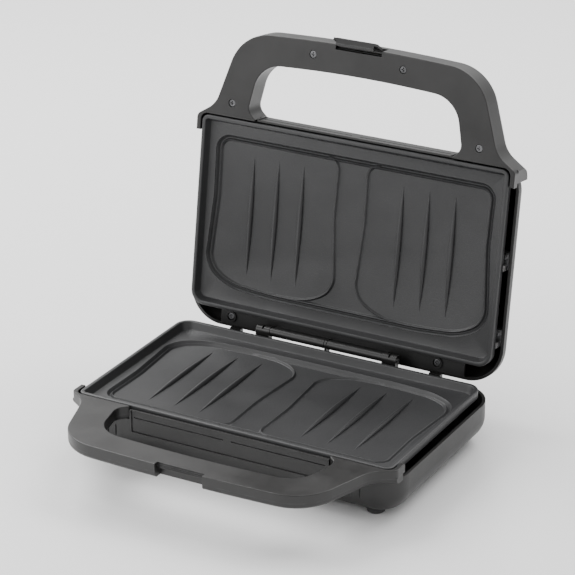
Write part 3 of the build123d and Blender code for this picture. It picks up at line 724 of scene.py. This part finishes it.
# ---------------------------------------------------------------- sub-assemblies
@dataclass
class CastPlate:
    """A cast cooking plate: rolled rim, tray, two slice pockets with beads, and ribs."""

    half: Half
    book: FinishBook
    places: Places
    half_w: float = 137.5
    half_d: float = 80.5
    front_r: float = 6.0
    rear_r: float = 12.0
    tray: float = 6.5
    draft: float = 1.9
    pocket: float = 9.2
    slice_x: float = 68.0
    slice_half: tuple[Corner, ...] = ((58.3, -65.5, 13.0), (57.3, -14.0, 90.0), (62.0, 47.5, 22.0),
                                      (40.0, 63.0, 45.0), (0.0, 66.2, 240.0))
    rib_pitch: float = 23.0
    rib_half: tuple[float, float, float] = (2.2, 51.0, 2.7)
    bead: Profile = ((0.35, 0.10), (0.35, 0.45), (0.35, 0.60), (0.35, 0.50), (0.30, 0.20),
                     (0.30, -0.20), (0.35, -0.50), (0.35, -0.60), (0.35, -0.45), (0.35, -0.10))

    def build(self) -> bpy.types.Object:
        """Make and dress the plate.

        Returns:
            The plate.
        """
        bm = bmesh.new()
        tray = self._pan(bm)
        self._pockets(bm, tray)
        for side in (-1, 1):
            self._divider(bm, side)
            for step in (-1, 0, 1):
                self._rib(bm, side * self.slice_x + step * self.rib_pitch)
        piece = finish_mesh(bm, f"{self.half.value}_cast_plate", self.places.matrix(self.half), 50.0)
        settle(piece, BODY_OF[self.half], [f"{self.half.value}_plate"], self.book, "nonstick")
        return piece

    def _pan(self, bm: bmesh.types.BMesh) -> bmesh.types.BMFace:
        """Make the rim, skirt and underside.

        Args:
            bm: the mesh.

        Returns:
            The tray's floor face.
        """
        front = (self.half_w, -self.half_d, self.front_r)
        corners = both_sides([front, (self.half_w, self.half_d, self.rear_r)])
        top = outline(bm, corners, -self.tray)
        copy = bmesh.ops.duplicate(bm, geom=[top])
        bottom = next(g for g in copy["geom"] if isinstance(g, bmesh.types.BMFace))
        rise = self.tray - 0.8
        rolled = [(0.0, rise), (0.10, 0.35), (0.25, 0.28), (0.45, 0.17), (1.8, 0.0),
                  (0.45, -0.17), (0.25, -0.28), (0.10, -0.35), (self.draft, -(rise - 1.0)),
                  (0.15, -0.45), (0.30, -0.35), (0.45, -0.20)]
        floor = steps_in(bm, top, rolled)
        steps_in(bm, bottom, [(3.0, -3.0), (2.0, 0.0), (1.0, -2.7)])
        return floor

    def _pockets(self, bm: bmesh.types.BMesh, tray: bmesh.types.BMFace) -> None:
        """Sink both slices into the tray, with the step, valley and bead round them.

        Args:
            bm: the mesh.
            tray: the tray's floor face, which is given a hole.
        """
        x = self.slice_x
        right = [(x + across, y, radius) for across, y, radius in self.slice_half]
        sunk = outline(bm, both_sides(right), -self.tray, 12)
        lip = rim_edges(sunk)
        drop = self.pocket - self.tray
        step = [(0.20, -0.05), (0.30, -0.25), (0.30, -0.40), (0.90, -(drop - 1.4)),
                (0.30, -0.40), (0.30, -0.25), (0.20, -0.05)]
        steps_in(bm, sunk, step + list(self.bead))
        edges = lip + rim_edges(tray)
        bmesh.ops.delete(bm, geom=[tray], context="FACES_ONLY")
        bmesh.ops.triangle_fill(bm, edges=edges, use_beauty=True, normal=(0, 0, 1))

    def _divider(self, bm: bmesh.types.BMesh, side: int) -> None:
        """Raise the bead along one slice's inner side.

        Args:
            bm: the mesh.
            side: -1 for the left slice, 1 for the right one.
        """
        x = self.slice_x
        corners = [(side * x + across, y, radius) for across, y, radius in both_sides(self.slice_half)]
        own = bmesh.new()
        face = outline(own, corners, -self.pocket - 0.06, 12)
        face = steps_in(own, face, [(1.45, 0.0)])
        outer = [f for f in own.faces if f is not face]
        bmesh.ops.delete(own, geom=outer, context="FACES")
        face = steps_in(own, next(iter(own.faces)), self.bead)
        away = [f for f in own.faces if f is face or not self._is_inner(f.calc_center_median())]
        bmesh.ops.delete(own, geom=away, context="FACES")
        scrap = bpy.data.meshes.new("divider")
        own.to_mesh(scrap)
        own.free()
        bm.from_mesh(scrap)
        bpy.data.meshes.remove(scrap)

    @staticmethod
    def _is_inner(spot: Vector) -> bool:
        """Whether a point of a slice's bead stands clear of the shared bead."""
        limit = DIVIDER_FRONT if spot.y < 0 else DIVIDER_REAR
        return abs(spot.x) < limit * MM

    def _rib(self, bm: bmesh.types.BMesh, x: float) -> None:
        """Raise one rib, pointed at both ends and tallest in the middle.

        Args:
            bm: the mesh.
            x: the rib's middle, in millimetres.
        """
        made = bmesh.ops.create_uvsphere(bm, u_segments=20, v_segments=28, radius=1.0,
                                         matrix=Matrix.Rotation(radians(90), 4, "X"))
        wide, long, tall = self.rib_half
        for vert in made["verts"]:
            taper = sqrt(max(0.0, 1.0 - vert.co.y ** 2))
            across, along, up = vert.co.x * taper * wide, vert.co.y * long, vert.co.z * taper * tall
            vert.co = Vector((across * MM, along * MM, up * MM))
        below = [v for v in made["verts"] if v.co.z < 0]
        bmesh.ops.scale(bm, vec=(1, 1, 0.15), verts=below)
        bmesh.ops.translate(bm, verts=made["verts"], vec=(x * MM, 0, -self.pocket * MM))


@dataclass
class Carried:
    """The CAD pieces whose shapes stay as they are, each with its own finish."""

    book: FinishBook

    def dress(self) -> int:
        """Give every CAD node its slot's finish.

        Returns:
            How many nodes were dressed.
        """
        slots = {row["node"]: row["material_slot"] for row in frame["record"]["subparts"]}
        for name, node in frame["nodes"].items():
            self.book.dress(node, slots[name])
        return len(frame["nodes"])


# ---------------------------------------------------------------- studio
@dataclass(frozen=True)
class SoftLight:
    """One soft rectangular light: where it stands, what it faces, its size and its watts."""

    name: str
    spot: tuple[float, float, float]
    aim: tuple[float, float, float]
    size: tuple[float, float]
    power: float

    def build(self) -> None:
        """Add the light to the scene."""
        data = bpy.data.lights.new(self.name, "AREA")
        data.shape = "RECTANGLE"
        data.size, data.size_y = self.size
        data.energy = self.power
        lamp = bpy.data.objects.new(self.name, data)
        lamp.location = self.spot
        lamp.rotation_mode = "QUATERNION"
        facing = Vector(self.aim) - Vector(self.spot)
        lamp.rotation_quaternion = facing.to_track_quat("-Z", "Y")
        bpy.context.scene.collection.objects.link(lamp)


SOFT_LIGHTS = (
    SoftLight("key_light", (-1.1, 0.35, 1.25), (0.0, 0.02, 0.12), (1.2, 1.0), 30.0),
    SoftLight("fill_light", (-1.0, -1.2, 0.7), (0.0, 0.0, 0.08), (0.9, 0.6), 9.0),
    SoftLight("rim_light", (0.3, 1.3, 1.5), (0.0, 0.1, 0.2), (1.6, 0.8), 26.0),
)


@dataclass
class Studio:
    """A pale floor, soft lights and the camera."""

    azimuth: float = 29.0
    elevation: float = 23.6
    roll: float = -0.2
    distance: float = 2.003
    target: tuple[float, float, float] = (0.00645, 0.0, 0.1343)
    lens: float = 162.8

    def build(self) -> None:
        """Make the floor, the world, the lights and the camera."""
        self._floor()
        self._world()
        for lamp in SOFT_LIGHTS:
            lamp.build()
        self._camera()

    @staticmethod
    def _floor() -> None:
        """Make one flat pale floor under and behind the press."""
        bm = bmesh.new()
        bmesh.ops.create_grid(bm, x_segments=1, y_segments=1, size=6.0)
        mesh = bpy.data.meshes.new("floor")
        bm.to_mesh(mesh)
        bm.free()
        floor = bpy.data.objects.new("floor", mesh)
        bpy.context.scene.collection.objects.link(floor)
        paint = Paint("floor_white")
        paint.shader.inputs["Base Color"].default_value = (0.93, 0.93, 0.93, 1.0)
        paint.shader.inputs["Roughness"].default_value = 0.22
        paint.shader.inputs["Specular IOR Level"].default_value = 0.35
        mesh.materials.append(paint.material)

    @staticmethod
    def _world() -> None:
        """Light everything evenly from all round."""
        world = bpy.data.worlds.new("studio")
        world.use_nodes = True
        back = world.node_tree.nodes["Background"]
        back.inputs["Color"].default_value = (1.0, 1.0, 1.0, 1.0)
        back.inputs["Strength"].default_value = 0.95
        bpy.context.scene.world = world

    def _camera(self) -> None:
        """Place the camera."""
        a, e = radians(self.azimuth), radians(self.elevation)
        back = Vector((sin(a) * cos(e), -cos(a) * cos(e), sin(e)))
        right = Vector((cos(a), sin(a), 0.0))
        up = back.cross(right)
        turn = radians(self.roll)
        x_axis = cos(turn) * right + sin(turn) * up
        y_axis = cos(turn) * up - sin(turn) * right
        data = bpy.data.cameras.new("camera")
        data.lens = self.lens
        data.sensor_width = 36.0
        data.clip_start, data.clip_end = 0.05, 30.0
        camera = bpy.data.objects.new("camera", data)
        basis = Matrix((x_axis, y_axis, back)).transposed().to_4x4()
        camera.matrix_world = Matrix.Translation(Vector(self.target) + back * self.distance) @ basis
        bpy.context.scene.collection.objects.link(camera)
        bpy.context.scene.camera = camera


def main() -> None:
    """Build the press's looks and the studio."""
    logging.basicConfig(level=logging.INFO)
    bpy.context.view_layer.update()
    places = Places()
    Studio().build()
    book = FinishBook(Effects())
    LOG.info("dressed %d carried pieces", Carried(book).dress())
    for half in Half:
        plate = CastPlate(half, book, places).build()
        LOG.info("made %s with %d faces", plate.name, len(plate.data.polygons))


if __name__ == "__main__":
    main()
